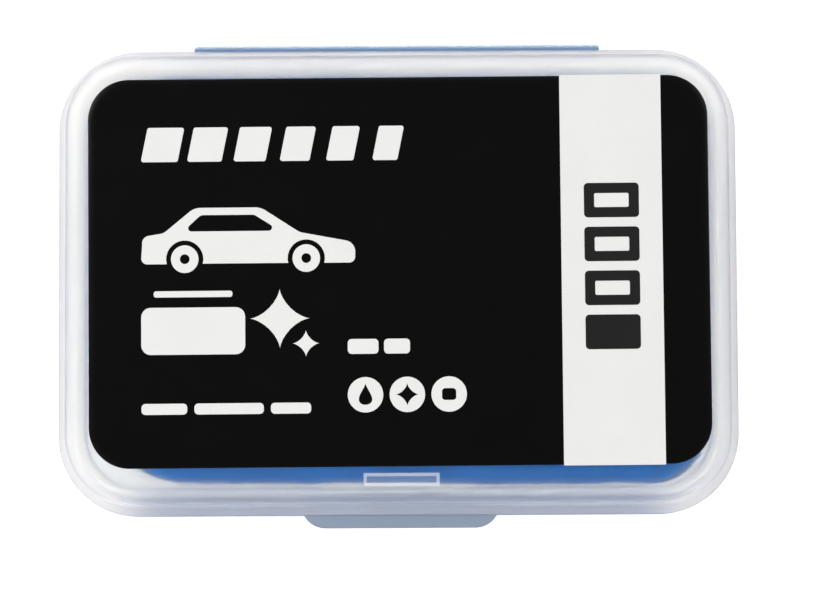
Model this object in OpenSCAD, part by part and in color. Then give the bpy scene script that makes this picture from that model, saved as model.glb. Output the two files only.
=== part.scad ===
// Detailing clay bar in its hinged box.
// The box lies closed on its tray: +Z is up, the thumb tab is at the front (-Y) and the hinge at
// the back (+Y). The origin is the centre of the underside.

/* [Box] */
// Width over the closed box's flange, left to right
box_w = 88; // [84:0.5:96]
// Depth over the closed box's flange, front to back
box_d = 60.5; // [58:0.5:68]
// Corner radius of the flange outline
corner_r = 10.5; // [9:0.5:14]
// Height of the tray, from its underside to the parting line
tray_h = 10.2; // [8:0.1:14]
// Height of the lid, from the parting line to its top panel
lid_h = 9; // [7:0.1:12]
// Thickness of the moulded walls and panels
wall = 1.2; // [0.9:0.05:1.6]
// Radius round the tray's bottom edge and the lid's top edge
edge_r = 2.4; // [1.6:0.1:2.8]
// Gap left between the tray and the closed lid
parting_gap = 0.1; // [0.05:0.05:0.2]

/* [Flange and lip] */
// Thickness of the tray's and the lid's flanges
flange_t = 1.2; // [0.9:0.1:1.6]
// How far the lid's flange stands out from the lid wall
flange_w = 1.2; // [0.8:0.1:1.6]
// Gap between the lid wall and the locating lip inside it
lip_gap = 0.35; // [0.35:0.05:0.5]
// Height of the locating lip above the parting line
lip_h = 2.2; // [1.9:0.1:2.6]
// Thickness of the locating lip
lip_t = 0.85; // [0.75:0.05:1.2]
// Width of the stretch behind the catch where the lip is thinned
relief_w = 19.8; // [16:0.2:26]
// Depth of that thinning, in from the lip's inner face
relief_d = 0.45; // [0.2:0.05:0.5]

/* [Catch] */
// Width of the bead on the lip and of the nib that snaps under it
catch_w = 9.8; // [6:0.2:14]
// How far the bead and the nib each stand out
catch_reach = 0.25; // [0.2:0.01:0.25]
// Width of the grip pad on the lid, above the catch
pad_w = 9.6; // [6:0.2:14]
// Depth of the grip pad, front to back
pad_d = 1.65; // [1.4:0.05:2]
// Height of the grip pad's rim above the lid
pad_h = 0.35; // [0.2:0.05:0.6]
// Sideways offset of the pad
pad_x = 0.4; // [-2:0.1:2]

/* [Thumb tab] */
// Width of the tab
tab_w = 25.8; // [18:0.1:40]
// How far the tab stands out in front of the flange
tab_reach = 1.6; // [1:0.1:3]
// Thickness of the tab
tab_t = 1; // [0.8:0.1:1.2]
// Sideways place of the tab's middle
tab_x = 0.2; // [-4:0.1:4]

/* [Living hinge] */
// Width of the hinge web
hinge_w = 52.8; // [30:0.2:60]
// Thickness of the web
web_t = 0.3; // [0.25:0.05:0.4]
// How far the closed web stands out behind the flange
web_reach = 0.8; // [0.7:0.05:0.9]

/* [Clay] */
// Width of the clay bar
clay_w = 78; // [70:0.5:78.5]
// Depth of the clay bar, front to back
clay_d = 52.6; // [46:0.1:52.8]
// Height of the clay bar
clay_h = 15.7; // [10:0.1:16.2]
// Corner radius of the clay bar, seen from above
clay_r = 8.5; // [7:0.5:12]
// Radius round the clay bar's top and bottom edges
clay_edge_r = 2.5; // [1:0.1:4]
// Sideways place of the clay bar in the tray
clay_x = 0.4; // [-0.6:0.1:0.6]
// Thickness of the film wrapped round the clay
film_t = 0.08; // [0.05:0.01:0.12]

/* [Label] */
// Width of the label
label_w = 79.0; // [60:0.1:79.4]
// Depth of the label, front to back
label_d = 49.6; // [40:0.1:50]
// Corner radius of the label
label_r = 5.2; // [2:0.2:6]
// Thickness of the label
label_t = 0.12; // [0.08:0.01:0.2]
// Sideways place of the label's middle
label_x = 0.2; // [-0.5:0.05:0.5]
// Place of the label's middle behind the box's middle
label_y = 0.75; // [0:0.05:1]
// Width of the grade band across the label
band_w = 12.9; // [8:0.1:16]
// Thickness of the grade band
band_t = 0.08; // [0.05:0.01:0.12]
// Sideways place of the grade band's middle
band_x = 27.3; // [10:0.1:30]
// How far the band's ends pass the label's edges
band_over = 0.1; // [0:0.1:0.4]

/* [Hidden] */
$fn = 96;

plastic = "#cfd8e3";
clay_blue = "#2c6ba9";
label_black = "#101010";
band_white = "#f0f0ee";

// insets from the flange's outline
lid_wall_in = flange_w + wall + 0.1;
lip_out = lid_wall_in + lip_gap;
lip_in = lip_out + lip_t;
tray_out = lip_in - wall - 0.05;

// levels
parting_z = tray_h + parting_gap / 2;
lid_z = tray_h + parting_gap;
top_z = tray_h + lid_h;

// places of the front faces that the catch works between
lip_front_y = -box_d / 2 + lip_out;
lid_wall_front_y = -box_d / 2 + lid_wall_in;
catch_bead_z = tray_h + 1.55;
catch_nib_z = tray_h + 0.65;
bead_r = 0.4;

inner_edge_r = edge_r - wall;
tab_r = 3.2;
tab_root = 4;
pad_y = -box_d / 2 + flange_w + edge_r + 0.1 + pad_d / 2;
pad_rim = 0.4;
pad_dish = 0.2;

// Rounded rectangle, centred
module outline(w, d, r) {
    square([w - 2 * r, d], center = true);
    square([w, d - 2 * r], center = true);
    for (x = [-1, 1], y = [-1, 1])
        translate([x * (w / 2 - r), y * (d / 2 - r)])
            circle(r);
}

// Rounded rectangle set in from the flange's outline by an even amount
module inset_outline(inset) {
    outline(box_w - 2 * inset, box_d - 2 * inset, corner_r - inset);
}

// Half section from the middle out to reach, with its lower and upper outer edges rounded
module rounded_side(reach, h, low, high) {
    translate([0, low])
        square([reach, h - low - high]);
    if (low > 0) {
        square([reach - low, low]);
        translate([reach - low, low])
            intersection() {
                circle(low);
                translate([0, -low])
                    square(low);
            }
    }
    if (high > 0) {
        translate([0, h - high])
            square([reach - high, high]);
        translate([reach - high, h - high])
            intersection() {
                circle(high);
                square(high);
            }
    }
}

module rounded_bar(reach, h, low, high) {
    rounded_side(reach, h, low, high);
    mirror([1, 0])
        rounded_side(reach, h, low, high);
}

// Block with upright corners of radius r and rounded lower and upper edges, standing on z = 0
module soft_block(w, d, r, h, low, high) {
    for (quarter = [0 : 3]) {
        side_x = (quarter == 0 || quarter == 3) ? 1 : -1;
        side_y = quarter < 2 ? 1 : -1;
        translate([side_x * (w / 2 - r), side_y * (d / 2 - r), 0])
            rotate([0, 0, quarter * 90])
                rotate_extrude(angle = 90)
                    rounded_side(r, h, low, high);
    }
    rotate([90, 0, 90])
        linear_extrude(w - 2 * r, center = true)
            rounded_bar(d / 2, h, low, high);
    rotate([90, 0, 0])
        linear_extrude(d - 2 * r, center = true)
            rounded_bar(w / 2, h, low, high);
}

module inset_block(inset, h, low, high) {
    soft_block(box_w - 2 * inset, box_d - 2 * inset, corner_r - inset, h, low, high);
}

// Open tray with its flange
module tray() {
    color(plastic)
        difference() {
            union() {
                inset_block(tray_out, tray_h, edge_r, 0);
                translate([0, 0, tray_h - flange_t])
                    linear_extrude(flange_t)
                        inset_outline(0);
            }
            translate([0, 0, wall])
                inset_block(lip_in, tray_h, inner_edge_r, 0);
        }
}

// Upstanding lip that the lid closes over, thinned behind the catch
module locating_lip() {
    color(plastic)
        translate([0, 0, tray_h])
            linear_extrude(lip_h)
                difference() {
                    inset_outline(lip_out);
                    inset_outline(lip_in);
                    translate([0, -box_d / 2 + lip_in])
                        square([relief_w, 2 * relief_d], center = true);
                }
}

// Round-backed rib along X, standing out of a wall at y = 0 towards -Y
module catch_rib(w) {
    rotate([90, 0, 90])
        linear_extrude(w, center = true)
            intersection() {
                translate([bead_r - catch_reach, 0])
                    circle(bead_r, $fn = 48);
                translate([-2 * bead_r, -bead_r])
                    square(2 * bead_r);
            }
}

// Bead on the lip's outer face
module catch_bead() {
    color(plastic)
        translate([0, lip_front_y, catch_bead_z])
            catch_rib(catch_w + 3);
}

// Thumb tab in front of the tray's flange
module thumb_tab() {
    color(plastic)
        translate([tab_x, -box_d / 2, tray_h - flange_t])
            linear_extrude(tab_t)
                intersection() {
                    translate([0, tab_root / 2])
                        outline(tab_w, 2 * tab_reach + tab_root, tab_r);
                    translate([-tab_w / 2, -tab_reach])
                        square([tab_w, tab_reach]);
                }
}

// Thin web that joins the two flanges, looped outwards while the box is closed
module living_hinge() {
    color(plastic)
        translate([0, box_d / 2, parting_z])
            rotate([90, 0, 90])
                linear_extrude(hinge_w, center = true)
                    intersection() {
                        difference() {
                            circle(web_reach);
                            circle(web_reach - web_t);
                        }
                        translate([0, -web_reach])
                            square([web_reach, 2 * web_reach]);
                    }
}

module clay_form(grow) {
    translate([clay_x, 0, wall + film_t - grow])
        soft_block(
            clay_w + 2 * grow,
            clay_d + 2 * grow,
            clay_r + grow,
            clay_h + 2 * grow,
            clay_edge_r + grow,
            clay_edge_r + grow
        );
}

// Bar of clay
module clay_bar() {
    color(clay_blue)
        clay_form(0);
}

// Clear film wrapped round the clay
module clay_film() {
    color("#e8eef5")
        difference() {
            clay_form(film_t);
            clay_form(0);
        }
}

// Lid with its flange
module lid() {
    color(plastic)
        difference() {
            union() {
                translate([0, 0, lid_z])
                    inset_block(flange_w, top_z - lid_z, 0, edge_r);
                translate([0, 0, lid_z])
                    linear_extrude(flange_t)
                        inset_outline(0);
            }
            translate([0, 0, lid_z - wall])
                inset_block(lid_wall_in, top_z - lid_z, 0, inner_edge_r);
        }
}

// Nib inside the lid's front wall, which snaps under the bead
module catch_nib() {
    color(plastic)
        translate([0, lid_wall_front_y, catch_nib_z])
            mirror([0, 1, 0])
                catch_rib(catch_w);
}

// Dished rectangular pad on the lid, above the catch
module grip_pad() {
    color(plastic)
        translate([pad_x, pad_y, top_z])
            difference() {
                linear_extrude(pad_h)
                    square([pad_w, pad_d], center = true);
                translate([0, 0, pad_h - pad_dish])
                    linear_extrude(pad_h)
                        square([pad_w - 2 * pad_rim, pad_d - 2 * pad_rim], center = true);
            }
}

// Label on the lid's top panel
module label() {
    color(label_black)
        translate([label_x, label_y, top_z])
            linear_extrude(label_t)
                outline(label_w, label_d, label_r);
}

// Pale band across the label
module grade_band() {
    color(band_white)
        translate([band_x, label_y, top_z + label_t])
            linear_extrude(band_t)
                square([band_w, label_d + 2 * band_over], center = true);
}

tray();
locating_lip();
catch_bead();
thumb_tab();
living_hinge();
clay_bar();
clay_film();
lid();
catch_nib();
grip_pad();
label();
grade_band();
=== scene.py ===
"""Looks for a detailing clay bar in its hinged, frosted box.

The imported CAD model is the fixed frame. Each piece is a surface worked out on a grid, most of them a
profile carried round the box's rounded outline. Sizes are in metres unless a name says otherwise.
"""

import math

import bpy
import numpy as np
from bpy.props import FloatProperty, FloatVectorProperty, IntProperty, PointerProperty
from mathutils import Matrix, Vector


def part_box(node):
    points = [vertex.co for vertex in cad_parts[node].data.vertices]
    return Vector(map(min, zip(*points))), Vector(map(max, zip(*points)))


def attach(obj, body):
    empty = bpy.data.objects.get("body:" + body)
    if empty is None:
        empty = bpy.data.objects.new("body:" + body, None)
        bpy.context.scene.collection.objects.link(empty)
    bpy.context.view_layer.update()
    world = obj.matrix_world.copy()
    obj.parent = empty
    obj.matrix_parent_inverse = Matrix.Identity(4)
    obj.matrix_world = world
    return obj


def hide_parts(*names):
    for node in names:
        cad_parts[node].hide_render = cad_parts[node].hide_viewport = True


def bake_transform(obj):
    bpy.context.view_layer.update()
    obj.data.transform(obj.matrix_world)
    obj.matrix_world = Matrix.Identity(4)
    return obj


bl_info = {
    "name": "Clay Bar Box",
    "version": (1, 0, 0),
    "blender": (4, 5, 0),
    "location": "View3D > Sidebar > Clay Box",
    "description": "Builds a detailing clay bar in its frosted hinged box",
    "category": "Object",
}

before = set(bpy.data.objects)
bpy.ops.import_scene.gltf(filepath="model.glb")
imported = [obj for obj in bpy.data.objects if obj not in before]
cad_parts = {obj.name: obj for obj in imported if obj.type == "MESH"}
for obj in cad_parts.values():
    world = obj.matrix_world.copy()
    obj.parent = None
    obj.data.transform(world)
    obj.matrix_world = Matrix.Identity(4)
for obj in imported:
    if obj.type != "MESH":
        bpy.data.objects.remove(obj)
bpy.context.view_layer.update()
MM = 0.001
MADE = {}


def span(node):
    """Lowest and highest corners of a CAD node, as two arrays."""
    low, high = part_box(node)
    return np.array(low), np.array(high)


TRAY_LOW, TRAY_HIGH = span("tray")
LID_LOW, LID_HIGH = span("lid")
LIP_LOW, LIP_HIGH = span("locating_lip")
CLAY_LOW, CLAY_HIGH = span("clay_bar")
LABEL_LOW, LABEL_HIGH = span("label")
BAND_LOW, BAND_HIGH = span("grade_band")
PAD_LOW, PAD_HIGH = span("grip_pad")
TAB_LOW, TAB_HIGH = span("thumb_tab")
BEAD_LOW, BEAD_HIGH = span("catch_bead")
NIB_LOW, NIB_HIGH = span("catch_nib")
WEB_LOW, WEB_HIGH = span("living_hinge")


def linear(code):
    """Linear red, green, blue and alpha 1 from an sRGB hex colour."""
    srgb = np.array([int(code[i : i + 2], 16) for i in (1, 3, 5)]) / 255
    low = srgb / 12.92
    high = ((srgb + 0.055) / 1.055) ** 2.4
    return (*np.where(srgb <= 0.04045, low, high).tolist(), 1.0)


def colour(name, description, code):
    return FloatVectorProperty(
        name=name, description=description, default=linear(code), size=4, subtype="COLOR", min=0, max=1
    )


def length(name, description, default):
    return FloatProperty(
        name=name, description=description, default=default, unit="LENGTH", subtype="DISTANCE", precision=5
    )


def angle(name, description, degrees):
    return FloatProperty(
        name=name, description=description, default=math.radians(degrees), subtype="ANGLE"
    )


class BoxSettings(bpy.types.PropertyGroup):
    """Sizes and colour of the moulded box."""

    corner_radius: length("Corner radius", "Corner radius of the flange outline", 10.5 * MM)
    wall: length("Wall", "Thickness of walls and panels", 1.2 * MM)
    flange: length("Flange", "Thickness of each flange, and its reach past the lid wall", 1.2 * MM)
    edge_radius: length("Edge radius", "Rounding of the lid's top and the tray's bottom edge", 2.4 * MM)
    lip_thickness: length("Lip", "Thickness of the locating lip", 0.85 * MM)
    relief_width: length("Relief width", "Width of the thinned stretch of the lip", 19.8 * MM)
    relief_depth: length("Relief depth", "Depth of the thinned stretch of the lip", 0.45 * MM)
    slope: length("Slope", "How far the lid flange's outer edge is lowered", 0.25 * MM)
    draft: length("Draft", "How far the lid's wall leans in over its height", 0.4 * MM)
    tab_radius: length("Tab radius", "Corner radius of the thumb tab", 3.2 * MM)
    pad_rim: length("Pad rim", "Width of the rim round the dished grip pad", 0.4 * MM)
    web: length("Hinge web", "Thickness of the living hinge", 0.3 * MM)
    plastic: colour("Plastic", "Colour of the frosted polypropylene", "#fcfcfb")
    # front glow and front blue tint the front wall darker and bluer: painted blue light from the clay and
    # painted shade at the box's front
    painted_front_share: FloatProperty(
        name="Front glow", description="Share of the front blue in the front wall", default=0.26
    )
    # the flanges' touch greyer colour is painted shade that dims their bright outer ring
    rim: colour("Rim", "Colour of the trimmed and handled flanges", "#f8f7f7")
    painted_front_blue: colour("Front blue", "Colour that the clay lends to the front wall", "#b2bfd3")
    # the tab's greyer, bluer colour is painted shade, the box's shade over the tab, with a little painted
    # blue light from the clay
    tab: colour("Tab", "Colour of the thumb tab, greyed by fingers", "#abb4c0")
    web_glow: colour("Web glow", "Colour of the hinge web, where light from the clay comes out", "#b2cae0")


class ClaySettings(bpy.types.PropertyGroup):
    """Shape and colours of the clay bar and its film."""

    left_radius: length("Left radius", "Corner radius of the bar's left end", 12.5 * MM)
    right_radius: length("Right radius", "Corner radius of the bar's right end", 7.6 * MM)
    edge_radius: length("Edge radius", "Rounding of the bar's top and bottom edges", 2.5 * MM)
    unevenness: length("Unevenness", "How far the pressed surface wanders", 0.12 * MM)
    slack: length("Slack", "How much tighter the film's corners are than the bar's", 1.2 * MM)
    wrinkle: length("Wrinkle", "Height of the film's creases", 0.3 * MM)
    blue: colour("Clay", "Colour of the clay", "#0699ee")
    deep_blue: colour("Deep clay", "Colour of the denser streaks", "#0282d4")
    film: colour("Film", "Tint of the wrapping film", "#f4f8fc")


class LabelSettings(bpy.types.PropertyGroup):
    """Shape and colours of the label."""

    corner_radius: length("Corner radius", "Corner radius of the label", 5.2 * MM)
    ink: length("Ink", "Height of the printed ink", 0.015 * MM)
    turn: angle("Turn", "How far askew the label was stuck on", 0.25)
    black: colour("Black", "Colour of the label", "#0a0a0a")
    white: colour("White", "Colour of the grade band and the white ink", "#dadad8")
    dark_ink: colour("Dark ink", "Colour of the marks on the band", "#121212")


class StageSettings(bpy.types.PropertyGroup):
    """Camera, light and floor."""

    distance: length("Camera distance", "From the camera to the parting line", 0.4)
    elevation: angle("Elevation", "Camera's height above the horizon", 86)
    roll: angle("Roll", "Camera's turn about its own axis", -0.3)
    view_width: length("View width", "Width that the camera takes in at the parting line", 106.5 * MM)
    aim_right: length("Aim right", "How far right of the box's middle the camera aims", 1.5 * MM)
    aim_back: length("Aim back", "How far behind the box's middle the camera aims", -3.2 * MM)
    lamps: IntProperty(name="Lamps", description="Number of soft lamps round the box", default=6, min=1)
    lamp_power: FloatProperty(
        name="Lamp power", description="Power of each lamp", default=1.6, unit="POWER"
    )
    key: FloatProperty(name="Key", description="How much stronger the key side's lamps are", default=0.48)
    sides: FloatProperty(
        name="Sides", description="How much stronger the left and right lamps are", default=0.6
    )
    key_side: angle("Key side", "Direction that the key light comes from", 165)
    glow: FloatProperty(name="Glow", description="Light that the floor gives by itself", default=0.5)
    floor: colour("Floor", "Colour of the floor", "#ececec")


# Surfaces ------------------------------------------------------------------------------------------


def arc(centre, radius, start, end, count):
    """Points centre + radius (cos a, sin a) with a running evenly from start to end."""
    a = np.linspace(start, end, count)
    return np.stack([centre[0] + radius * np.cos(a), centre[1] + radius * np.sin(a)], 1)


def rounded_path(corners, count=6):
    """A path through corners (x, y, radius), each rounded with an arc that touches both sides.

    The arc starts radius * tan(turn / 2) before its corner and its centre lies radius off the incoming
    side. The first and last corners are kept as they are.
    """
    points = np.array([c[:2] for c in corners], float)
    out = [points[:1]]
    for before, here, after, radius in zip(points, points[1:], points[2:], [c[2] for c in corners[1:-1]]):
        into = (here - before) / np.linalg.norm(here - before)
        away = (after - here) / np.linalg.norm(after - here)
        side = np.sign(into[0] * away[1] - into[1] * away[0])
        turn = math.acos(np.clip(into @ away, -1, 1))
        if radius <= 0 or side == 0:
            out.append(here[None])
            continue
        normal = side * np.array([-into[1], into[0]])
        begin = here - into * radius * math.tan(turn / 2)
        first = math.atan2(-normal[1], -normal[0])
        out.append(arc(begin + normal * radius, radius, first, first + side * turn, count))
    out.append(points[-1:])
    return np.concatenate(out)


def closed_path(corners, count=6):
    """rounded_path round a loop, with every corner rounded."""
    loop = [corners[-1], *corners, corners[0]]
    return rounded_path(loop, count)[1:-1]


def outline(half_x, half_y, radii, marks, corner_steps, step):
    """Walk anticlockwise round a rounded rectangle, starting at the front left corner's end.

    radii are those of the front left, front right, back right and back left corners. marks are places
    along the front side that must have samples. Returns for each sample the arc centre C, the outward
    direction N and the radius R, so that the outline set in by s is C + (R - s) N.
    """
    fl, fr, br, bl = radii
    centres = np.array(
        [
            [half_x - fr, -half_y + fr],
            [half_x - br, half_y - br],
            [-half_x + bl, half_y - bl],
            [-half_x + fl, -half_y + fl],
        ]
    )
    rs = np.array([fr, br, bl, fl])
    c, n, r = [], [], []
    for side in range(4):
        a0 = side * math.pi / 2 - math.pi / 2
        start, end = centres[side - 1], centres[side]
        reach = np.abs(end - start).max()
        count = max(2, round(reach / step))
        t = np.linspace(0, 1, count + 1)[1:-1]
        if side == 0 and len(marks):
            extra = (np.asarray(marks) - start[0]) / (end[0] - start[0])
            t = np.unique(np.concatenate([t, extra[(extra > 0) & (extra < 1)]]))
        c.append(start + t[:, None] * (end - start))
        n.append(np.tile([math.cos(a0), math.sin(a0)], (len(t), 1)))
        r.append(rs[side - 1] + t * (rs[side] - rs[side - 1]))
        a = np.linspace(a0, a0 + math.pi / 2, corner_steps)
        c.append(np.tile(end, (corner_steps, 1)))
        n.append(np.stack([np.cos(a), np.sin(a)], 1))
        r.append(np.full(corner_steps, rs[side]))
    return np.concatenate(c), np.concatenate(n), np.concatenate(r)


def carry(ring, profile, shrink):
    """Points of a profile carried round an outline, as an array (profile, outline, 3).

    profile holds (inset, height) pairs and shrink one scale for each, which draws flat panels in towards
    the middle of the outline.
    """
    c, n, r = ring
    flat = c + (r - profile[:, 0, None])[..., None] * n
    middle = (flat.max(1, keepdims=True) + flat.min(1, keepdims=True)) / 2
    flat = middle + (flat - middle) * shrink[:, None, None]
    height = np.broadcast_to(profile[:, 1, None, None], (*flat.shape[:2], 1))
    return np.concatenate([flat, height], 2)


def panel(inset, height, inward, rings):
    """Profile rows that close a flat panel from its rim to its middle, or the other way round."""
    scale = np.linspace(1, 0, rings + 1)[1:-1]
    rows = np.tile([inset, height], (rings - 1, 1))
    if inward:
        return rows, scale
    return rows[::-1], scale[::-1]


def closed_profile(path, low_rings, high_rings):
    """A path with a flat panel of rings at each end, as (inset, height) rows and their scales."""
    low_rows, low_scale = panel(*path[0], False, low_rings)
    high_rows, high_scale = panel(*path[-1], True, high_rings)
    profile = np.concatenate([low_rows, path, high_rows])
    return profile, np.concatenate([low_scale, np.ones(len(path)), high_scale])


def mesh_object(name, points, faces, smooth_angle=35):
    """A mesh object at the origin, smooth but for edges sharper than smooth_angle."""
    mesh = bpy.data.meshes.new(name)
    mesh.from_pydata(points.tolist(), [], faces)
    mesh.polygons.foreach_set("use_smooth", np.ones(len(mesh.polygons), bool))
    mesh.set_sharp_from_angle(angle=math.radians(smooth_angle))
    mesh.validate()
    piece = bpy.data.objects.new(name, mesh)
    bpy.context.scene.collection.objects.link(piece)
    return piece


def grid_quads(rows, columns, wrap):
    """Quads between neighbouring rows of a grid, each (row, column) to (row + 1, column + 1)."""
    i = np.arange(rows - 1)[:, None] * columns
    j = np.arange(columns if wrap else columns - 1)[None]
    k = (j + 1) % columns
    return np.stack([i + j, i + k, i + columns + k, i + columns + j], -1).reshape(-1, 4)


def closed_shell(name, grid, first_pole, last_pole, smooth_angle=35):
    """Close a ring grid with one point at each end, each joined to its ring by triangles."""
    rows, columns = grid.shape[:2]
    body = grid_quads(rows, columns, True)
    j = np.arange(columns)
    k = (j + 1) % columns
    top = (rows - 1) * columns
    start = np.stack([np.full(columns, rows * columns), k, j], 1)
    end = np.stack([top + j, top + k, np.full(columns, rows * columns + 1)], 1)
    points = np.concatenate([grid.reshape(-1, 3), [first_pole], [last_pole]])
    faces = body.tolist() + start.tolist() + end.tolist()
    return mesh_object(name, points, faces, smooth_angle)


def wander(points, size, seed):
    """Smooth noise, mostly from -1 to 1: a sum of sine waves of about one size in random directions."""
    terms = 24
    rng = np.random.default_rng(seed)
    direction = rng.normal(size=(terms, 3))
    direction /= np.linalg.norm(direction, axis=1, keepdims=True)
    wave = direction * (2 * math.pi / size) * rng.uniform(0.5, 1.4, (terms, 1))
    phase = rng.uniform(0, 2 * math.pi, terms)
    return np.sin(points @ wave.T + phase).sum(-1) / math.sqrt(terms) / 1.6


def pulse(x, low, high):
    """1 between low and high and 0 outside."""
    return ((x > low) & (x < high)).astype(float)


def edges_of(*places):
    """Each place twice, a hair apart, so that a step there has an almost upright wall."""
    hair = 0.03 * MM
    return [p + s * hair for p in places for s in (-1, 1)]


# Materials -----------------------------------------------------------------------------------------


def add(tree, kind, values=None, links=None, **settings):
    """Add a node, with its settings, its input values and what feeds its inputs.

    A node that feeds an input stands for its first output.
    """
    node = tree.nodes.new(kind)
    for key, value in settings.items():
        setattr(node, key, value)
    for key, value in (values or {}).items():
        node.inputs[key].default_value = value
    for key, source in (links or {}).items():
        if isinstance(source, bpy.types.Node):
            source = source.outputs[0]
        tree.links.new(source, node.inputs[key])
    return node


def new_material(name):
    """An empty node material, its tree and its object coordinates."""
    material = bpy.data.materials.new(name)
    material.use_nodes = True
    tree = material.node_tree
    tree.nodes.clear()
    where = add(tree, "ShaderNodeTexCoord").outputs["Object"]
    return material, tree, where


def polypropylene(name, tone, milk, clear):
    """Injection-moulded natural polypropylene: a milky, softly blurring wall with a fine matt texture.

    A share clear of the light passes a surface without being scattered, in the plastic's own tone. Of
    the rest, a share milk is scattered back by the polymer's haze and the remainder is refracted
    through the rough surface.
    """
    box = bpy.context.scene.clay_box
    material, tree, where = new_material(name)
    # flow of the melt, about 14 mm from streak to streak
    flow = add(tree, "ShaderNodeTexNoise", {"Scale": 1 / (14 * MM), "Detail": 2}, {"Vector": where})
    # spark-eroded mould grain is about 0.1 mm, drawn at 0.35 mm so that it shows
    grain = add(tree, "ShaderNodeTexNoise", {"Scale": 1 / (0.35 * MM), "Detail": 2}, {"Vector": where})
    # handling scuffs, 5 mm long and about 0.7 mm apart
    long = add(tree, "ShaderNodeMapping", {"Scale": (1, 7, 1), "Rotation": (0, 0, 0.5)}, {"Vector": where})
    rubbing = {"Scale": 1 / (5 * MM), "Detail": 6, "Roughness": 0.7}
    scuff = add(tree, "ShaderNodeTexNoise", rubbing, {"Vector": long})
    streak = (*(0.975 * c for c in tone[:3]), 1)
    tint = add(tree, "ShaderNodeMix", {6: tuple(tone), 7: streak}, {"Factor": flow}, data_type="RGBA")
    # the clay lies close behind the straight part of the front wall; there the wall is tinted darker and
    # bluer, painted blue light from the clay and painted shade at the box's front
    place = add(tree, "ShaderNodeSeparateXYZ", links={"Vector": where})
    near = add(
        tree,
        "ShaderNodeMapRange",
        {"From Min": -26.5 * MM, "From Max": -28 * MM, "To Min": 0, "To Max": box.painted_front_share},
        {"Value": place.outputs["Y"]},
    )
    side = add(tree, "ShaderNodeMath", links={0: place.outputs["X"]}, operation="ABSOLUTE")
    straight = add(
        tree,
        "ShaderNodeMapRange",
        {"From Min": 30 * MM, "From Max": 38 * MM, "To Min": 1, "To Max": 0},
        {"Value": side},
        interpolation_type="SMOOTHSTEP",
    )
    share = add(tree, "ShaderNodeMath", links={0: near, 1: straight}, operation="MULTIPLY")
    tint_with_painted_front = add(
        tree,
        "ShaderNodeMix",
        {7: tuple(box.painted_front_blue)},
        {"Factor": share, 6: tint.outputs[2]},
        data_type="RGBA",
    )
    rough = add(
        tree,
        "ShaderNodeMapRange",
        {"From Min": 0.3, "From Max": 0.75, "To Min": 0.34, "To Max": 0.44},
        {"Value": scuff},
    )
    bump = add(tree, "ShaderNodeBump", {"Strength": 0.15, "Distance": 0.01 * MM}, {"Height": grain})
    shader = add(
        tree,
        "ShaderNodeBsdfPrincipled",
        {"IOR": 1.49, "Specular IOR Level": 0.12, "Transmission Weight": 1 - milk},
        {"Base Color": tint_with_painted_front.outputs[2], "Roughness": rough, "Normal": bump},
    )
    through = add(tree, "ShaderNodeBsdfTransparent", links={"Color": tint_with_painted_front.outputs[2]})
    both = add(tree, "ShaderNodeMixShader", {0: clear}, {1: shader, 2: through})
    add(tree, "ShaderNodeOutputMaterial", links={"Surface": both})
    return material


def frosted_wall():
    """The walls and panels, about 1.2 mm thick."""
    return polypropylene("frosted polypropylene", bpy.context.scene.clay_box.plastic, 0.01, 0.6)


def milky_lip():
    """The lip, seen along its height, so that more of the polymer's haze adds up."""
    return polypropylene("milky polypropylene", bpy.context.scene.clay_box.plastic, 0.85, 0.05)


def shaded_rim():
    """The two flanges, a touch greyer than the walls: painted shade that dims their bright outer ring."""
    return polypropylene("flange polypropylene with painted shade", bpy.context.scene.clay_box.rim, 0.02, 0.6)


def shaded_tab():
    """The thumb tab, denser than the walls, in a greyer, bluer colour that is painted shade with a little
    painted blue light from the clay.
    """
    return polypropylene("tab polypropylene with painted shade", bpy.context.scene.clay_box.tab, 0.3, 0.35)


def glowing_web():
    """The hinge web, a thin flexed strip where light that ran along the walls from the clay comes out."""
    return polypropylene("flexed polypropylene", bpy.context.scene.clay_box.web_glow, 0.3, 0.5)


def textured_dish():
    """The dish of the grip pad, whose coarse mould texture turns it a little milky."""
    return polypropylene("textured polypropylene", bpy.context.scene.clay_box.plastic, 0.12, 0.45)


def highlit_rim():
    """The pad's rim, milkier and so whiter than the dish: a painted highlight round the pad."""
    return polypropylene("pad rim polypropylene with painted highlight", bpy.context.scene.clay_box.plastic, 0.42, 0.2)


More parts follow.
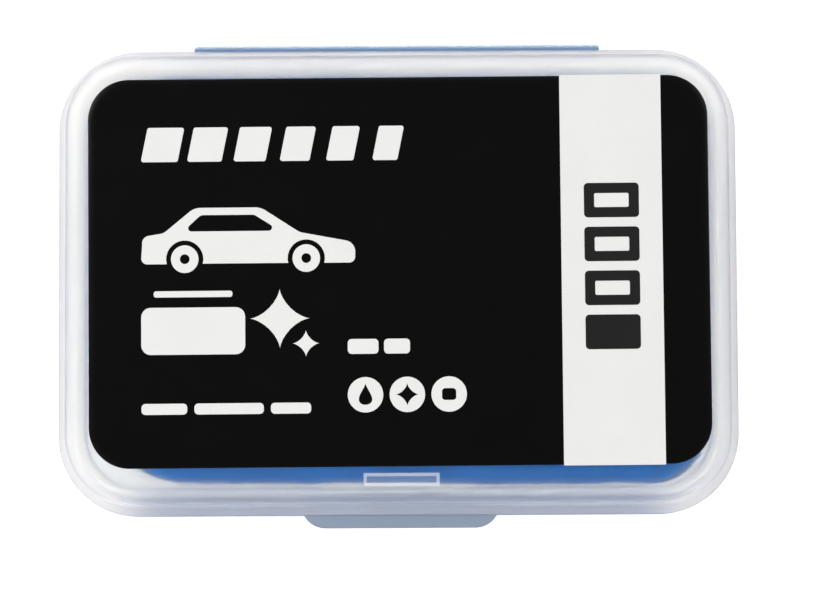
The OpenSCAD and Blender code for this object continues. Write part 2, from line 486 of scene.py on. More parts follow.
def detailing_clay():
    """Kneaded polymer clay with fine abrasive: an even, slightly waxy blue with faint extrusion lines."""
    clay = bpy.context.scene.clay_bar
    material, tree, where = new_material("detailing clay")
    # cloudy mixing of the pigment, about 9 mm across
    cloud = add(tree, "ShaderNodeTexNoise", {"Scale": 1 / (9 * MM), "Detail": 4}, {"Vector": where})
    # the die leaves lines along the bar about 0.9 mm apart
    along = add(tree, "ShaderNodeMapping", {"Scale": (0.04, 1, 1)}, {"Vector": where})
    fine = {"Scale": 1 / (0.9 * MM), "Detail": 3, "Roughness": 0.6}
    lines = add(tree, "ShaderNodeTexNoise", fine, {"Vector": along})
    # abrasive grit is a few hundredths of a millimetre, drawn at 0.3 mm so that it shows
    grit = add(tree, "ShaderNodeTexNoise", {"Scale": 1 / (0.3 * MM), "Detail": 2}, {"Vector": where})
    blues = {6: tuple(clay.deep_blue), 7: tuple(clay.blue)}
    mix = add(tree, "ShaderNodeMix", blues, {"Factor": cloud}, data_type="RGBA")
    height = add(tree, "ShaderNodeMath", {1: 0.35}, {0: grit, 2: lines}, operation="MULTIPLY_ADD")
    bump = add(tree, "ShaderNodeBump", {"Strength": 0.8, "Distance": 0.09 * MM}, {"Height": height})
    rough = add(tree, "ShaderNodeMapRange", {"To Min": 0.45, "To Max": 0.62}, {"Value": cloud})
    shader = add(
        tree,
        "ShaderNodeBsdfPrincipled",
        {
            "IOR": 1.47,
            "Specular IOR Level": 0.15,
            "Subsurface Weight": 0.15,
            "Subsurface Radius": (0.4, 0.8, 1.2),
            "Subsurface Scale": 1.0 * MM,
        },
        {"Base Color": mix.outputs[2], "Roughness": rough, "Normal": bump},
    )
    add(tree, "ShaderNodeOutputMaterial", links={"Surface": shader})
    return material


def wrapping_film():
    """Clear polypropylene film: nearly invisible face on, with bright mirror-like creases."""
    clay = bpy.context.scene.clay_bar
    material, tree, where = new_material("wrapping film")
    # stretch marks, 3 mm long and 1 mm apart
    pull = add(tree, "ShaderNodeMapping", {"Scale": (1, 3, 1), "Rotation": (0, 0, 0.6)}, {"Vector": where})
    drawn = {"Scale": 1 / (3 * MM), "Detail": 4, "Roughness": 0.6}
    marks = add(tree, "ShaderNodeTexNoise", drawn, {"Vector": pull})
    bump = add(tree, "ShaderNodeBump", {"Strength": 0.6, "Distance": 0.08 * MM}, {"Height": marks})
    facing = add(tree, "ShaderNodeFresnel", {"IOR": 1.3}, {"Normal": bump})
    clear = add(tree, "ShaderNodeBsdfTransparent", {"Color": tuple(clay.film)})
    gloss = add(
        tree,
        "ShaderNodeBsdfAnisotropic",
        {"Color": tuple(clay.film), "Roughness": 0.09},
        {"Normal": bump},
    )
    shader = add(tree, "ShaderNodeMixShader", links={0: facing, 1: clear, 2: gloss})
    add(tree, "ShaderNodeOutputMaterial", links={"Surface": shader})
    return material


def printed_vinyl(name, tone, low_rough, high_rough):
    """Self-adhesive vinyl, satin varnished: smooth, with a faint orange peel and fine rubbing marks."""
    material, tree, where = new_material(name)
    # varnish orange peel, about 0.6 mm
    peel = add(tree, "ShaderNodeTexNoise", {"Scale": 1 / (0.6 * MM), "Detail": 2}, {"Vector": where})
    # rubbing, about 6 mm patches
    patchy = {"Scale": 1 / (6 * MM), "Detail": 5, "Roughness": 0.65}
    rub = add(tree, "ShaderNodeTexNoise", patchy, {"Vector": where})
    rubbed = (*(0.92 * c + 0.0004 for c in tone[:3]), 1)
    tint = add(tree, "ShaderNodeMix", {6: tuple(tone), 7: rubbed}, {"Factor": rub}, data_type="RGBA")
    rough = add(tree, "ShaderNodeMapRange", {"To Min": low_rough, "To Max": high_rough}, {"Value": rub})
    bump = add(tree, "ShaderNodeBump", {"Strength": 0.08, "Distance": 0.02 * MM}, {"Height": peel})
    shader = add(
        tree,
        "ShaderNodeBsdfPrincipled",
        {"IOR": 1.45, "Specular IOR Level": 0.25},
        {"Base Color": tint.outputs[2], "Roughness": rough, "Normal": bump},
    )
    add(tree, "ShaderNodeOutputMaterial", links={"Surface": shader})
    return material


def floor_paper():
    """Matt white background paper, lit a little from below as on a light table."""
    stage = bpy.context.scene.clay_stage
    material, tree, where = new_material("background paper")
    # matted fibres, about 2 mm from tuft to tuft
    fibre = add(tree, "ShaderNodeTexNoise", {"Scale": 1 / (2 * MM), "Detail": 3}, {"Vector": where})
    bump = add(tree, "ShaderNodeBump", {"Strength": 0.02, "Distance": 0.02 * MM}, {"Height": fibre})
    shader = add(
        tree,
        "ShaderNodeBsdfPrincipled",
        {
            "Base Color": tuple(stage.floor),
            "Roughness": 0.9,
            "Specular IOR Level": 0.1,
            "Emission Color": (1, 1, 1, 1),
            "Emission Strength": stage.glow,
        },
        {"Normal": bump},
    )
    add(tree, "ShaderNodeOutputMaterial", links={"Surface": shader})
    return material


def finish_piece(piece, material, body, slot, *nodes):
    """Give a piece its material, its body and the CAD nodes it stands for. slot is not used."""
    piece.data.materials.clear()
    piece.data.materials.append(material)
    if body:
        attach(piece, body)
    if nodes:
        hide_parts(*nodes)
    return piece


def shared(make):
    """The material that make builds, made once."""
    if make not in MADE:
        MADE[make] = make()
    return MADE[make]


def cover_faces(piece, material, low, high):
    """Give a second material to the faces whose middles lie between two corners."""
    mesh = piece.data
    middles = np.empty(len(mesh.polygons) * 3)
    mesh.polygons.foreach_get("center", middles)
    middles = middles.reshape(-1, 3)
    slots = np.empty(len(mesh.polygons), np.int32)
    mesh.polygons.foreach_get("material_index", slots)
    if material.name not in mesh.materials:
        mesh.materials.append(material)
    slots[((middles > low) & (middles < high)).all(1)] = mesh.materials.find(material.name)
    mesh.polygons.foreach_set("material_index", slots)


# Pieces --------------------------------------------------------------------------------------------


def front_samples(box, *places):
    """Outline of the flange, with samples at every step that the front side has."""
    half_x, half_y = TRAY_HIGH[0], TRAY_HIGH[1]
    return outline(half_x, half_y, [box.corner_radius] * 4, edges_of(*places), 22, 0.6 * MM)


def front_mask(ring):
    """1 on the outline's front side and 0 elsewhere."""
    return (ring[1][:, 1] < -0.999).astype(float)


class BuildTray(bpy.types.Operator):
    """Build the open tray with its flange, locating lip, bead and thumb tab in one moulding"""

    bl_idname = "claybox.build_tray"
    bl_label = "Tray"

    def execute(self, context):
        box = context.scene.clay_box
        front = TRAY_LOW[1]
        lip_out = LIP_LOW[1] - front
        lip_in = lip_out + box.lip_thickness
        wall_out = lip_in - box.wall - 0.05 * MM
        flange_low = TRAY_HIGH[2] - box.flange
        tab_x = (TAB_LOW[0] + TAB_HIGH[0]) / 2
        tab_reach = front - TAB_LOW[1]
        # the tab's outline is widest at its hidden root, tab_radius back from its front edge
        tab_flat = (TAB_HIGH[0] - TAB_LOW[0]) / 2 - math.sqrt(
            box.tab_radius**2 - (box.tab_radius - tab_reach) ** 2
        )
        relief = box.relief_width / 2
        turned = np.linspace(tab_flat, tab_x - TAB_LOW[0], 24)
        tab_marks = [*(tab_x - turned), *(tab_x + turned)]
        ring = front_samples(box, -relief, relief, BEAD_LOW[0], BEAD_HIGH[0], *tab_marks)

        soft = 0.25 * MM
        path = rounded_path(
            [
                (wall_out + box.edge_radius + 1.2 * MM, 0, 0),
                (wall_out, 0, box.edge_radius),
                (wall_out, flange_low, 0.8 * MM),
                (0, flange_low, soft),
                (0, TRAY_HIGH[2], soft),
                (lip_out, TRAY_HIGH[2], 0.12 * MM),
                (lip_out, LIP_HIGH[2], soft),
                (lip_in, LIP_HIGH[2], soft),
                (lip_in, box.wall, box.edge_radius - box.wall),
                (lip_in + box.edge_radius + 1.2 * MM, box.wall, 0),
            ],
            8,
        )
        # rows for the bead on the lip's outer face and for the foot of the relief on its inner face
        bead_z = np.linspace(BEAD_LOW[2], BEAD_HIGH[2], 9)
        outer_face = np.flatnonzero(np.isclose(path[:, 0], lip_out) & (path[:, 1] > BEAD_HIGH[2]))[0]
        path = np.insert(path, outer_face, np.stack([np.full(9, lip_out), bead_z], 1), 0)
        inner_face = np.flatnonzero(np.isclose(path[:, 0], lip_in) & (path[:, 1] < LIP_LOW[2]))[0]
        foot = [[lip_in, LIP_LOW[2] + 0.03 * MM], [lip_in, LIP_LOW[2] - 0.03 * MM]]
        path = np.insert(path, inner_face, foot, 0)

        floor_rings = 22
        profile, shrink = closed_profile(path, floor_rings, 14)
        grid = carry(ring, profile, shrink)
        x = grid[..., 0]
        on_front = front_mask(ring)[None] * (shrink == 1)[:, None]
        inset = profile[:, 0, None]
        level = profile[:, 1, None]

        # tab: flat to tab_flat each side of its middle, then a quarter round back to the flange
        across = np.clip(np.abs(x - tab_x) - tab_flat, 0, box.tab_radius)
        bow = np.sqrt(box.tab_radius**2 - across**2) - box.tab_radius + tab_reach
        edge_row = (inset < 0.6 * soft) & (level < TRAY_HIGH[2] - 0.3 * soft) & (level > flange_low - soft)
        out = on_front * edge_row * np.clip(bow, 0, None)
        grid[..., 1] -= out
        sink = (TRAY_HIGH[2] - TAB_HIGH[2]) * (level > TAB_HIGH[2])
        grid[..., 2] -= sink * np.clip(out / tab_reach * 4, 0, 1)
        # bead: a round-backed rib on the lip's outer face
        rise = np.clip((level - BEAD_LOW[2]) / (BEAD_HIGH[2] - BEAD_LOW[2]), 0, 1)
        rib = on_front * np.isclose(inset, lip_out) * np.sin(math.pi * rise)
        grid[..., 1] -= rib * (BEAD_HIGH[1] - BEAD_LOW[1]) * pulse(x, BEAD_LOW[0], BEAD_HIGH[0])
        # relief: the lip's inner face steps out behind the catch
        inner = on_front * pulse(inset, lip_in - 0.3 * soft, lip_in + 0.1 * MM) * (level > LIP_LOW[2])
        grid[..., 1] -= inner * box.relief_depth * pulse(x, -relief, relief)
        # gate mark: a shallow round dish under the floor with a nub in its middle
        radius = np.hypot(grid[..., 0], grid[..., 1])
        under = (np.arange(len(profile)) < floor_rings - 1)[:, None]
        dish = 0.35 * MM * np.clip((4.2 * MM - radius) / (0.5 * MM), 0, 1)
        grid[..., 2] += under * dish
        piece = closed_shell("tray_moulding", grid, (0, 0, 0.1 * MM), (0, 0, box.wall))
        finish_piece(
            piece, shared(frosted_wall), "base", "box", "tray", "locating_lip", "catch_bead", "thumb_tab"
        )
        hair = 0.02 * MM
        parting = TRAY_HIGH[2] + hair
        # the tray's flange takes the flanges' painted shade
        cover_faces(piece, shared(shaded_rim), [-1, -1, flange_low - hair], [1, 1, parting])
        # the tab's faces take the tab's painted shade
        cover_faces(piece, shared(shaded_tab), TAB_LOW - 1 * MM, [TAB_HIGH[0] + 1 * MM, front - hair, 1])
        cover_faces(piece, shared(milky_lip), [-1, -1, parting], [1, 1, 1])
        # the thinned stretch is no milkier than the walls
        cover_faces(piece, shared(frosted_wall), [-relief, -1, parting], [relief, front + lip_in + hair, 1])
        return {"FINISHED"}


class BuildLid(bpy.types.Operator):
    """Build the lid with its flange, nib and dished grip pad in one moulding"""

    bl_idname = "claybox.build_lid"
    bl_label = "Lid"

    def execute(self, context):
        box = context.scene.clay_box
        front = LID_LOW[1]
        wall_in = NIB_LOW[1] - front
        top = LID_HIGH[2]
        rim = box.pad_rim
        ring = front_samples(
            box,
            PAD_LOW[0],
            PAD_HIGH[0],
            PAD_LOW[0] + rim,
            PAD_HIGH[0] - rim,
            NIB_LOW[0],
            NIB_HIGH[0],
        )
        soft = 0.2 * MM
        far = wall_in + box.edge_radius + 3.2 * MM
        path = rounded_path(
            [
                (far, top - box.wall, 0),
                (wall_in + box.draft, top - box.wall, box.edge_radius - box.wall),
                (wall_in, LIP_HIGH[2] + 0.4 * MM, 2 * MM),
                (wall_in, LID_LOW[2], 0.6 * soft),
                (0, LID_LOW[2], soft),
                (0, LID_LOW[2] + box.flange - box.slope, 0.5 * MM),
                (0.8 * box.flange, LID_LOW[2] + box.flange + 2 * box.slope, 0.9 * MM),
                (1.2 * box.flange, LID_LOW[2] + 2.6 * box.flange, 3 * MM),
                (box.flange + box.draft, top, box.edge_radius - box.draft),
                (far, top, 0),
            ],
            10,
        )
        nib_z = np.linspace(NIB_HIGH[2], NIB_LOW[2], 9)
        inner_face = np.flatnonzero(np.isclose(path[:, 0], wall_in) & (path[:, 1] < NIB_LOW[2]))[0]
        path = np.insert(path, inner_face, np.stack([np.full(9, wall_in), nib_z], 1), 0)
        pad_out, pad_in = PAD_LOW[1] - front, PAD_HIGH[1] - front
        pad_rows = np.sort(edges_of(pad_out, pad_out + rim, pad_in - rim, pad_in))
        path = np.insert(path, len(path) - 1, np.stack([pad_rows, np.full(8, top)], 1), 0)

        profile, shrink = closed_profile(path, 14, 14)
        grid = carry(ring, profile, shrink)
        x, y = grid[..., 0], grid[..., 1]
        on_front = front_mask(ring)[None] * (shrink == 1)[:, None]
        inset = profile[:, 0, None]
        level = profile[:, 1, None]

        rise = np.clip((level - NIB_LOW[2]) / (NIB_HIGH[2] - NIB_LOW[2]), 0, 1)
        rib = on_front * np.isclose(inset, wall_in) * np.sin(math.pi * rise)
        grid[..., 1] += rib * (NIB_HIGH[1] - NIB_LOW[1]) * pulse(x, NIB_LOW[0], NIB_HIGH[0])
        # pad: a block with a rectangular dish sunk in its top
        on_pad = pulse(x, PAD_LOW[0], PAD_HIGH[0]) * pulse(y, PAD_LOW[1], PAD_HIGH[1])
        in_dish = pulse(x, PAD_LOW[0] + rim, PAD_HIGH[0] - rim)
        in_dish = in_dish * pulse(y, PAD_LOW[1] + rim, PAD_HIGH[1] - rim)
        upper = on_front * (level >= top - 1e-9)
        grid[..., 2] += upper * (on_pad * (PAD_HIGH[2] - top) - in_dish * 0.2 * MM)
        piece = closed_shell("lid_moulding", grid, (0, 0, top - box.wall), (0, 0, top))
        finish_piece(piece, shared(frosted_wall), "cover", "box", "lid", "catch_nib", "grip_pad")
        flange_high = LID_LOW[2] + box.flange + box.slope
        # the lid's flange takes the flanges' painted shade
        cover_faces(piece, shared(shaded_rim), [-1, -1, LID_LOW[2] - 0.02 * MM], [1, 1, flange_high])
        # the pad's faces, then those inside its rim, with a hair to spare
        low = np.array([*PAD_LOW[:2], top - 0.01 * MM])
        high = np.array([*PAD_HIGH[:2], PAD_HIGH[2] + 0.1 * MM])
        spare = np.array([0.1 * MM, 0.1 * MM, 0])
        inside = np.array([rim, rim, 0])
        # the pad's rim is made whiter, a painted highlight round the pad
        cover_faces(piece, shared(highlit_rim), low - spare / 2, high + spare)
        cover_faces(piece, shared(textured_dish), low + inside, high - inside)
        return {"FINISHED"}


class BuildHinge(bpy.types.Operator):
    """Build the living hinge, a thin web that loops out between the two flanges"""

    bl_idname = "claybox.build_hinge"
    bl_label = "Living hinge"

    def execute(self, context):
        box = context.scene.clay_box
        reach = WEB_HIGH[1] - WEB_LOW[1]
        middle_z = (WEB_LOW[2] + WEB_HIGH[2]) / 2
        # half ring section: outer arc out and back, inner arc returning, thinned in its middle
        turn = np.linspace(-math.pi / 2, math.pi / 2, 28)
        thin = box.web * (1 - 0.3 * np.cos(turn))
        outer = np.stack([reach * np.cos(turn), reach * np.sin(turn)], 1)
        inner = np.stack([(reach - thin) * np.cos(turn), (reach - thin) * np.sin(turn)], 1)
        section = np.concatenate([outer, inner[::-1]])
        # the web's ends are rounded in plan: over their last stretch its reach falls by the share loss
        x = np.linspace(WEB_LOW[0], WEB_HIGH[0], 121)
        rounded, loss = 0.6 * MM, 0.18
        end = np.clip((WEB_HIGH[0] - np.abs(x)) / rounded, 0, 1)
        swell = 1 - loss + loss * np.sin(end * math.pi / 2)
        y = WEB_LOW[1] + swell[:, None] * section[None, :, 0]
        z = middle_z + np.broadcast_to(section[None, :, 1], y.shape)
        grid = np.stack([np.broadcast_to(x[:, None], y.shape), y, z], -1)
        rows, columns = grid.shape[:2]
        quads = grid_quads(rows, columns, True)[:, ::-1]
        half = columns // 2
        j = np.arange(half - 1)
        first = np.stack([j, j + 1, columns - 2 - j, columns - 1 - j], 1)
        last = (first + (rows - 1) * columns)[:, ::-1]
        faces = quads.tolist() + first[:, ::-1].tolist() + last[:, ::-1].tolist()
        piece = mesh_object("hinge_web", grid.reshape(-1, 3), faces, 50)
        piece.data.materials.append(shared(glowing_web))
        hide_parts("living_hinge")
        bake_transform(piece)
        return {"FINISHED"}


def clay_surface(clay, left, right, grow, seed=3):
    """Grid of the bar's skin: a rounded block, pressed uneven, grown by grow and turned slightly.

    left and right are the radii of its corners in plan. Each point of the block moves along the block's
    own outward direction by smooth noise. Returns the grid and those directions.
    """
    middle = (CLAY_LOW + CLAY_HIGH) / 2
    half = (CLAY_HIGH - CLAY_LOW) / 2 - 1.6 * clay.unevenness
    ring = outline(half[0], half[1], [left, right, right, left], (), 26, 0.9 * MM)
    r = clay.edge_radius
    path = rounded_path(
        [(r + 2 * MM, -half[2], 0), (0, -half[2], r), (0, half[2], r), (r + 2 * MM, half[2], 0)], 9
    )
    upright = np.linspace(-half[2] + r, half[2] - r, 14)[1:-1]
    path = np.insert(path, len(path) // 2, np.stack([0 * upright, upright], 1), 0)
    profile, shrink = closed_profile(path, 26, 26)
    grid = carry(ring, profile, shrink)
    out = np.zeros_like(grid)
    steep = np.clip(1 - profile[:, 0] / r, 0, 1) * (shrink == 1)
    out[..., :2] = ring[1][None] * steep[:, None, None]
    out[..., 2] = np.clip(profile[:, 1] / half[2], -1, 1)[:, None] * (1 - steep)[:, None]
    out /= np.linalg.norm(out, axis=2, keepdims=True) + 1e-9
    press = wander(grid, 22 * MM, seed) + 0.45 * wander(grid, 8 * MM, seed + 1)
    grid = grid + out * (grow + clay.unevenness * np.clip(press, -1.5, 1.5)[..., None])
    skew = math.radians(-0.35)
    turn = np.array([[math.cos(skew), -math.sin(skew)], [math.sin(skew), math.cos(skew)]])
    grid[..., :2] = grid[..., :2] @ turn.T
    return grid + middle, out


class BuildClay(bpy.types.Operator):
    """Build the clay bar, a rounded block with a hand-pressed skin"""

    bl_idname = "claybox.build_clay"
    bl_label = "Clay bar"

    def execute(self, context):
        clay = context.scene.clay_bar
        grid, _ = clay_surface(clay, clay.left_radius, clay.right_radius, 0)
        first = grid[0].mean(0)
        last = grid[-1].mean(0)
        piece = closed_shell("clay_block", grid, first, last, 60)
        finish_piece(piece, shared(detailing_clay), "base", "clay", "clay_bar")
        return {"FINISHED"}


class BuildFilm(bpy.types.Operator):
    """Build the clear film wrapped round the clay, creased at its corners"""

    bl_idname = "claybox.build_film"
    bl_label = "Film"

    def execute(self, context):
        clay = context.scene.clay_bar
        left, right = clay.left_radius - clay.slack, clay.right_radius - clay.slack
        grid, out = clay_surface(clay, left, right, 0.02 * MM)
        middle = (CLAY_LOW + CLAY_HIGH) / 2
        away = np.abs(grid - middle) / ((CLAY_HIGH - CLAY_LOW) / 2)
        corner = np.clip((away[..., 0] - 0.6) / 0.4, 0, 1) * np.clip((away[..., 1] - 0.5) / 0.5, 0, 1)
        crease = 1 - np.abs(wander(grid * [1, 1, 0.35], 9 * MM, 17))
        amount = clay.wrinkle * (0.45 + 0.55 * corner) * np.clip(crease, 0, 1) ** 7
        grid = grid + out * amount[..., None]
        low, high = span("clay_film")
        grid = np.clip(grid, low, high)
        piece = closed_shell("clay_wrap", grid, grid[0].mean(0), grid[-1].mean(0), 60)
        finish_piece(piece, shared(wrapping_film), "base", "film", "clay_film")
        return {"FINISHED"}


def flat_shape(name, loops, height, thickness, place):
    """Flat ink shapes: closed loops filled by the even-odd rule, thickness high, standing on height."""
    curve = bpy.data.curves.new(name, "CURVE")
    curve.dimensions = "2D"
    curve.fill_mode = "BOTH"
    curve.extrude = thickness / 2
    for loop in loops:
        spline = curve.splines.new("POLY")
        spline.points.add(len(loop) - 1)
        flat = np.zeros((len(loop), 4))
        flat[:, :2] = loop
        flat[:, 3] = 1
        spline.points.foreach_set("co", flat.ravel())
        spline.use_cyclic_u = True
    source = bpy.data.objects.new(name + "_curve", curve)
    bpy.context.scene.collection.objects.link(source)
    bpy.context.view_layer.update()
    mesh = bpy.data.meshes.new_from_object(source.evaluated_get(bpy.context.evaluated_depsgraph_get()))
    bpy.data.objects.remove(source)
    bpy.data.curves.remove(curve)
    mesh.name = name
    mesh.transform(Matrix.Translation(Vector((place[0], place[1], height + thickness / 2))))
    piece = bpy.data.objects.new(name, mesh)
    bpy.context.scene.collection.objects.link(piece)
    return piece


def disc(x, y, radius):
    """A circle of 48 points."""
    return arc((x, y), radius, 0, 2 * math.pi, 49)[:-1]


def block(x0, y0, x1, y1, radius, slant=0.0):
    """A rounded rectangle, or a parallelogram when slant moves its top to the right."""
    return closed_path(
        [(x0, y0, radius), (x1, y0, radius), (x1 + slant, y1, radius), (x0 + slant, y1, radius)]
    )


def spark(x, y, radius):
    """A four-pointed star: radius (cos^3 t, sin^3 t)."""
    t = np.linspace(0, 2 * math.pi, 41)[:-1]
    return np.stack([x + radius * np.cos(t) ** 3, y + radius * np.sin(t) ** 3], 1)


def drop(x, y, radius):
    """A water drop: (cos t sin^2(t / 2), sin t) stood on its round end."""
    t = np.linspace(0, 2 * math.pi, 41)[:-1]
    side = radius * 1.25 * np.sin(t) * np.sin(t / 2) ** 2
    up = radius * 1.3 * np.cos(t)
    return np.stack([x + side, y + up], 1)


def car_side(x, y, width, height):
    """A plain saloon seen from the side: rounded body, two wheel arches, and a window as a hole."""
    w, h = width / 26.5, height / 8
    body = rounded_path(
        [
            (22.6, 1.1, 0),
            (26.4, 1.1, 0.7),
            (26.5, 3.6, 1.4),
            (19.6, 4.9, 2.0),
            (14.8, 8.0, 2.4),
            (6.6, 8.0, 2.2),
            (2.8, 4.9, 1.6),
            (0.2, 4.5, 0.9),
            (0.0, 1.1, 0.7),
            (3.2, 1.1, 0),
        ],
        8,
    )
    rear = arc((5.4, 1.7), 2.3, math.pi * 1.08, -0.08 * math.pi, 18)
    front = arc((20.4, 1.7), 2.3, math.pi * 1.08, -0.08 * math.pi, 18)
    window = closed_path([(5.2, 5.1, 0.4), (17.2, 5.1, 0.4), (14.0, 7.1, 0.8), (7.4, 7.1, 0.8)])
    loops = [np.concatenate([body, rear, front]), window]
    loops += [disc(5.4, 1.7, 1.7), disc(20.4, 1.7, 1.7), disc(5.4, 1.7, 0.6), disc(20.4, 1.7, 0.6)]
    return [np.stack([x + loop[:, 0] * w, y + loop[:, 1] * h], 1) for loop in loops]


class BuildLabel(bpy.types.Operator):
    """Build the label, its pale grade band and the plain printed shapes on both"""

    bl_idname = "claybox.build_label"
    bl_label = "Label"

    def execute(self, context):
        settings = context.scene.clay_label
        black = printed_vinyl("black label vinyl", settings.black, 0.15, 0.22)
        white = printed_vinyl("white label vinyl", settings.white, 0.4, 0.55)
        dark = printed_vinyl("dark ink", settings.dark_ink, 0.4, 0.5)
        middle = (LABEL_LOW + LABEL_HIGH) / 2
        half = (LABEL_HIGH - LABEL_LOW) / 2
        ring = outline(half[0], half[1], [settings.corner_radius] * 4, (), 24, 4 * MM)
        thick = LABEL_HIGH[2] - LABEL_LOW[2]
        soft = 0.03 * MM
        path = rounded_path([(1 * MM, 0, 0), (0, 0, soft), (0, thick, soft), (1 * MM, thick, 0)], 4)
        profile, shrink = closed_profile(path, 4, 4)
        grid = carry(ring, profile, shrink) + [middle[0], middle[1], LABEL_LOW[2]]
        sheet = closed_shell(
            "label_sheet",
            grid,
            (middle[0], middle[1], LABEL_LOW[2]),
            (middle[0], middle[1], LABEL_HIGH[2]),
        )
        finish_piece(sheet, black, "cover", "label", "label")

        band_half = (BAND_HIGH - BAND_LOW) / 2
        band_middle = (BAND_LOW + BAND_HIGH) / 2
        loops = [block(-band_half[0], -band_half[1], band_half[0], band_half[1], 0.08 * MM)]
        band = flat_shape("grade_strip", loops, BAND_LOW[2], BAND_HIGH[2] - BAND_LOW[2], band_middle)
        finish_piece(band, white, "cover", "band", "grade_band")

        # white marks, in millimetres from the label's middle
        left = -32.8
        marks = [
            block(left + 5.9 * i, 14.2, left + 5.6 * i + 4.7, 18.6, 0.3, 0.9) for i in range(6)
        ]
        marks += car_side(left, 0.0, 27.3, 8.3)
        marks += [block(left, -10.4, left + 13.2, -4.4, 1.2)]
        marks += [block(left + 1.6, -3.1, left + 11.6, -2.3, 0.3)]
        marks += [spark(-15.2, -5.9, 3.8), spark(-11.9, -9.1, 1.7)]
        marks += [block(-6.6, -10.5, -2.7, -8.6, 0.5), block(-2.0, -10.5, 1.3, -8.6, 0.5)]
        marks += [block(left, -18.0, -27.0, -16.6, 0.5), block(-26.1, -18.0, -17.3, -16.6, 0.5)]
        marks += [block(-16.4, -18.0, -11.3, -16.6, 0.5)]
        marks += [disc(-4.4, -15.7, 2.25), disc(0.9, -15.7, 2.25), disc(6.2, -15.7, 2.25)]
        marks += [drop(-4.4, -15.6, 1.05), spark(0.9, -15.7, 1.45), block(5.3, -16.45, 7.1, -14.95, 0.4)]
        print_loops = [loop * MM for loop in marks]
        print_white = flat_shape("label_print", print_loops, LABEL_HIGH[2], settings.ink, middle)
        finish_piece(print_white, white, "cover", "band")

        # the grade gauge on the band: one full block and three open ones
        gauge = []
        for i in range(4):
            y0 = -10.2 + 5.6 * i
            gauge.append(block(-3.5, y0, 3.5, y0 + 4.4, 0.5))
            if i:
                gauge.append(block(-2.2, y0 + 1.3, 2.2, y0 + 3.1, 0.2))
        gauge_loops = [loop * MM for loop in gauge]
        print_dark = flat_shape("band_print", gauge_loops, BAND_HIGH[2], settings.ink, band_middle)
        finish_piece(print_dark, dark, "cover", "label")

        # the label was stuck on slightly askew, all of its layers together
        centre = Matrix.Translation(Vector(middle))
        askew = centre @ Matrix.Rotation(settings.turn, 4, "Z") @ centre.inverted()
        for layer in (sheet, band, print_white, print_dark):
            layer.data.transform(askew)
        return {"FINISHED"}


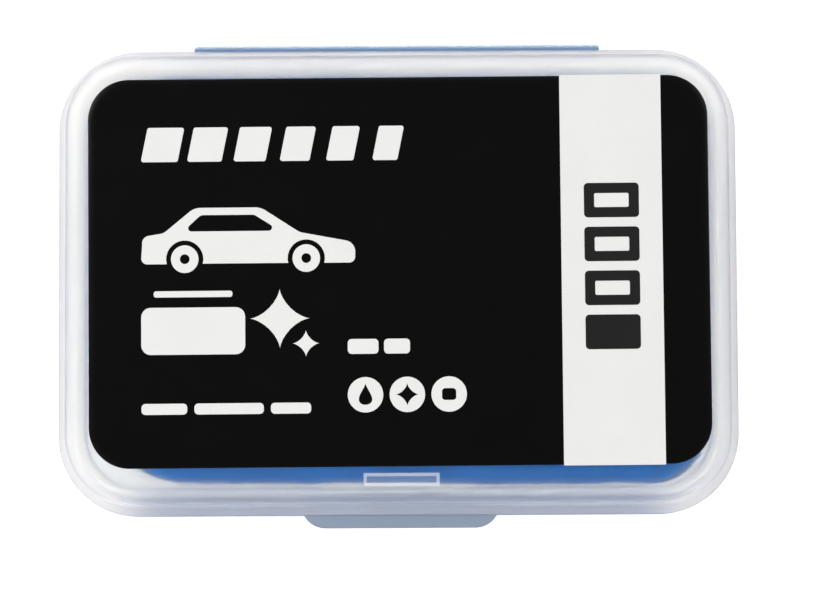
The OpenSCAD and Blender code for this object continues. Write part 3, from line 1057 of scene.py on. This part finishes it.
class BuildStage(bpy.types.Operator):
    """Build the floor, the soft lamps, the world and the camera"""

    bl_idname = "claybox.build_stage"
    bl_label = "Stage"

    def execute(self, context):
        scene = context.scene
        stage = scene.clay_stage
        scene.view_settings.view_transform = "Standard"
        reach = 4.0
        # a hair below the box, so that the two surfaces do not fight
        corners = np.array([[-1, -1, 0], [1, -1, 0], [1, 1, 0], [-1, 1, 0]]) * reach - [0, 0, 0.03 * MM]
        floor = mesh_object("floor", corners, [[0, 1, 2, 3]])
        floor.data.materials.append(floor_paper())

        target = Vector((0, 0, TRAY_HIGH[2]))
        rise = math.radians(52)
        level = math.cos(rise)
        for i in range(stage.lamps):
            around = 2 * math.pi * (i + 0.5) / stage.lamps
            away = Vector((math.cos(around) * level, math.sin(around) * level, math.sin(rise)))
            light = bpy.data.lights.new(f"soft_lamp_{i + 1}", "AREA")
            light.shape = "DISK"
            light.size = 0.45
            share = 1 + stage.key * math.cos(around - stage.key_side) + stage.sides * math.cos(2 * around)
            light.energy = stage.lamp_power * share
            lamp = bpy.data.objects.new(light.name, light)
            lamp.location = target + away * 0.9
            lamp.rotation_euler = away.to_track_quat("Z", "Y").to_euler()
            scene.collection.objects.link(lamp)

        # plain studio surround: bright at the horizon and darker overhead
        world = bpy.data.worlds.new("studio")
        scene.world = world
        world.use_nodes = True
        tree = world.node_tree
        tree.nodes.clear()
        way = add(tree, "ShaderNodeTexCoord")
        up = add(tree, "ShaderNodeSeparateXYZ", links={"Vector": way.outputs["Generated"]})
        shade = add(
            tree,
            "ShaderNodeMapRange",
            {"From Min": 0.35, "From Max": 0.95, "To Min": 0.8, "To Max": 0.03},
            {"Value": up.outputs["Z"]},
            interpolation_type="SMOOTHSTEP",
        )
        sky = add(tree, "ShaderNodeBackground", {"Color": (1, 1, 1, 1)}, {"Strength": shade})
        add(tree, "ShaderNodeOutputWorld", links={"Surface": sky})

        data = bpy.data.cameras.new("camera")
        data.sensor_width = 36
        data.lens = data.sensor_width * stage.distance / stage.view_width
        data.clip_start = 0.01
        camera = bpy.data.objects.new("camera", data)
        back = Vector((0, -math.cos(stage.elevation), math.sin(stage.elevation)))
        turn = back.to_track_quat("Z", "Y").to_matrix()
        right, above = turn.col[0], turn.col[1]
        aim = target + right * stage.aim_right + above * stage.aim_back
        spin = Matrix.Rotation(stage.roll, 3, "Z")
        camera.matrix_world = Matrix.Translation(aim + back * stage.distance) @ (turn @ spin).to_4x4()
        scene.collection.objects.link(camera)
        scene.camera = camera
        return {"FINISHED"}


class ClayBoxPanel(bpy.types.Panel):
    """Lists the steps that build the clay bar box"""

    bl_idname = "VIEW3D_PT_clay_box"
    bl_label = "Clay Box"
    bl_space_type = "VIEW_3D"
    bl_region_type = "UI"
    bl_category = "Clay Box"

    def draw(self, context):
        for step in STEPS:
            self.layout.operator(step.bl_idname)
        for settings in SETTINGS:
            group = getattr(context.scene, settings)
            column = self.layout.column()
            for name in group.bl_rna.properties.keys():
                if name not in ("rna_type", "name"):
                    column.prop(group, name)


SETTINGS = {
    "clay_box": BoxSettings,
    "clay_bar": ClaySettings,
    "clay_label": LabelSettings,
    "clay_stage": StageSettings,
}
STEPS = (BuildStage, BuildTray, BuildLid, BuildHinge, BuildClay, BuildFilm, BuildLabel)
CLASSES = (*SETTINGS.values(), *STEPS, ClayBoxPanel)


def register():
    for cls in CLASSES:
        bpy.utils.register_class(cls)
    for name, group in SETTINGS.items():
        setattr(bpy.types.Scene, name, PointerProperty(type=group))


def unregister():
    for name in SETTINGS:
        delattr(bpy.types.Scene, name)
    for cls in reversed(CLASSES):
        bpy.utils.unregister_class(cls)


def main():
    register()
    bpy.ops.claybox.build_stage()
    bpy.ops.claybox.build_tray()
    bpy.ops.claybox.build_lid()
    bpy.ops.claybox.build_hinge()
    bpy.ops.claybox.build_clay()
    bpy.ops.claybox.build_film()
    bpy.ops.claybox.build_label()


if __name__ == "__main__":
    main()
